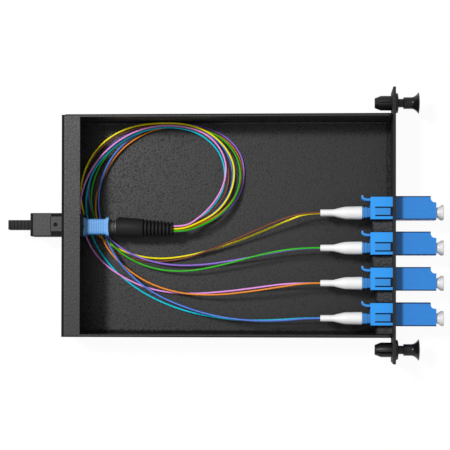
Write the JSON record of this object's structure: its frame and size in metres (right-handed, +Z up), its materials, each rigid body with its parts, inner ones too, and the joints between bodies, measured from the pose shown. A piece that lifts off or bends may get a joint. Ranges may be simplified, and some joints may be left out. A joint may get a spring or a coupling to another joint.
{
  "type": "fibre cassette",
  "caption": "Open rack cassette that breaks a multi-fibre trunk connector out to duplex adapters through a loop of fibres.",
  "frame": {"origin": "centre of the tray floor's underside", "axes": "+X from the rear wall to the front panel, +Z up out of the open tray, +Y towards the panel's blank end"},
  "size_m": [0.2078, 0.13, 0.029],
  "materials": {
    "tray_paint": "fine black powder coat",
    "rivet_black": "moulded nylon",
    "adapter_blue": "satin moulding",
    "ceramic_white": "polished ceramic",
    "plug_white": "soft translucent moulding",
    "connector_blue": "satin moulding",
    "boot_white": "smooth flexible moulding",
    "mpo_black": "satin moulding",
    "cap_black": "satin moulding",
    "coupling_blue": "satin moulding",
    "ferrule_black": "moulded",
    "pin_steel": "ground",
    "ring_steel": "bright metal",
    "boot_black": "soft matt moulding",
    "glue_dark": "cured hot glue",
    "jacket_yellow": "smooth jacket",
    "jacket_brown": "smooth jacket",
    "jacket_rose": "smooth jacket",
    "jacket_aqua": "smooth jacket",
    "jacket_green": "smooth jacket",
    "jacket_blue": "smooth jacket",
    "jacket_orange": "smooth jacket",
    "jacket_violet": "smooth jacket"
  },
  "bodies": {
    "cassette": {"tray": "tray_paint", "rivet_grommet_upper": "rivet_black", "rivet_grommet_lower": "rivet_black", "adapter_1_rear": "adapter_blue", "adapter_1_front": "adapter_blue", "adapter_2_rear": "adapter_blue", "adapter_2_front": "adapter_blue", "adapter_3_rear": "adapter_blue", "adapter_3_front": "adapter_blue", "adapter_4_rear": "adapter_blue", "adapter_4_front": "adapter_blue", "alignment_sleeves": "ceramic_white", "lc_ferrules": "ceramic_white", "lc_connector_1_upper": "connector_blue", "lc_boot_1_upper": "boot_white", "lc_connector_1_lower": "connector_blue", "lc_boot_1_lower": "boot_white", "lc_connector_2_upper": "connector_blue", "lc_boot_2_upper": "boot_white", "lc_connector_2_lower": "connector_blue", "lc_boot_2_lower": "boot_white", "lc_connector_3_upper": "connector_blue", "lc_boot_3_upper": "boot_white", "lc_connector_3_lower": "connector_blue", "lc_boot_3_lower": "boot_white", "lc_connector_4_upper": "connector_blue", "lc_boot_4_upper": "boot_white", "lc_connector_4_lower": "connector_blue", "lc_boot_4_lower": "boot_white", "fibre_yellow": "jacket_yellow", "fibre_brown": "jacket_brown", "fibre_rose": "jacket_rose", "fibre_aqua": "jacket_aqua", "fibre_green": "jacket_green", "fibre_blue": "jacket_blue", "fibre_orange": "jacket_orange", "fibre_violet": "jacket_violet", "mpo_adapter": "mpo_black", "mpo_housing": "mpo_black", "mpo_ferrule": "ferrule_black", "mpo_guide_pins": "pin_steel", "mpo_spring": "pin_steel", "mpo_collar": "mpo_black", "mpo_crimp_ring": "ring_steel", "mpo_boot": "boot_black", "glue_beads": "glue_dark"},
    "plunger_upper": {"rivet_plunger_upper": "rivet_black"},
    "plunger_lower": {"rivet_plunger_lower": "rivet_black"},
    "plug_1_upper": {"dust_plug_1_upper": "plug_white"},
    "plug_1_lower": {"dust_plug_1_lower": "plug_white"},
    "plug_2_upper": {"dust_plug_2_upper": "plug_white"},
    "plug_2_lower": {"dust_plug_2_lower": "plug_white"},
    "plug_3_upper": {"dust_plug_3_upper": "plug_white"},
    "plug_3_lower": {"dust_plug_3_lower": "plug_white"},
    "plug_4_upper": {"dust_plug_4_upper": "plug_white"},
    "plug_4_lower": {"dust_plug_4_lower": "plug_white"},
    "cap": {"mpo_dust_cap": "cap_black"},
    "coupling": {"mpo_coupling": "coupling_blue"}
  },
  "joints": [
    {"name": "plunger_upper_push", "type": "slide", "parent": "cassette", "child": "plunger_upper", "axis": [1, 0, 0], "range_m": [-0.0021, 0]},
    {"name": "plunger_lower_push", "type": "slide", "parent": "cassette", "child": "plunger_lower", "axis": [1, 0, 0], "range_m": [-0.0021, 0]},
    {"name": "plug_1_upper_pull", "type": "slide", "parent": "cassette", "child": "plug_1_upper", "axis": [1, 0, 0], "range_m": [0, 0.012]},
    {"name": "plug_1_lower_pull", "type": "slide", "parent": "cassette", "child": "plug_1_lower", "axis": [1, 0, 0], "range_m": [0, 0.012]},
    {"name": "plug_2_upper_pull", "type": "slide", "parent": "cassette", "child": "plug_2_upper", "axis": [1, 0, 0], "range_m": [0, 0.012]},
    {"name": "plug_2_lower_pull", "type": "slide", "parent": "cassette", "child": "plug_2_lower", "axis": [1, 0, 0], "range_m": [0, 0.012]},
    {"name": "plug_3_upper_pull", "type": "slide", "parent": "cassette", "child": "plug_3_upper", "axis": [1, 0, 0], "range_m": [0, 0.012]},
    {"name": "plug_3_lower_pull", "type": "slide", "parent": "cassette", "child": "plug_3_lower", "axis": [1, 0, 0], "range_m": [0, 0.012]},
    {"name": "plug_4_upper_pull", "type": "slide", "parent": "cassette", "child": "plug_4_upper", "axis": [1, 0, 0], "range_m": [0, 0.012]},
    {"name": "plug_4_lower_pull", "type": "slide", "parent": "cassette", "child": "plug_4_lower", "axis": [1, 0, 0], "range_m": [0, 0.012]},
    {"name": "cap_pull", "type": "slide", "parent": "cassette", "child": "cap", "axis": [-1, 0, 0], "range_m": [0, 0.012]},
    {"name": "coupling_draw", "type": "slide", "parent": "cassette", "child": "coupling", "axis": [1, 0, 0], "range_m": [0, 0.0015], "stiffness_N_per_m": 500}
  ]
}
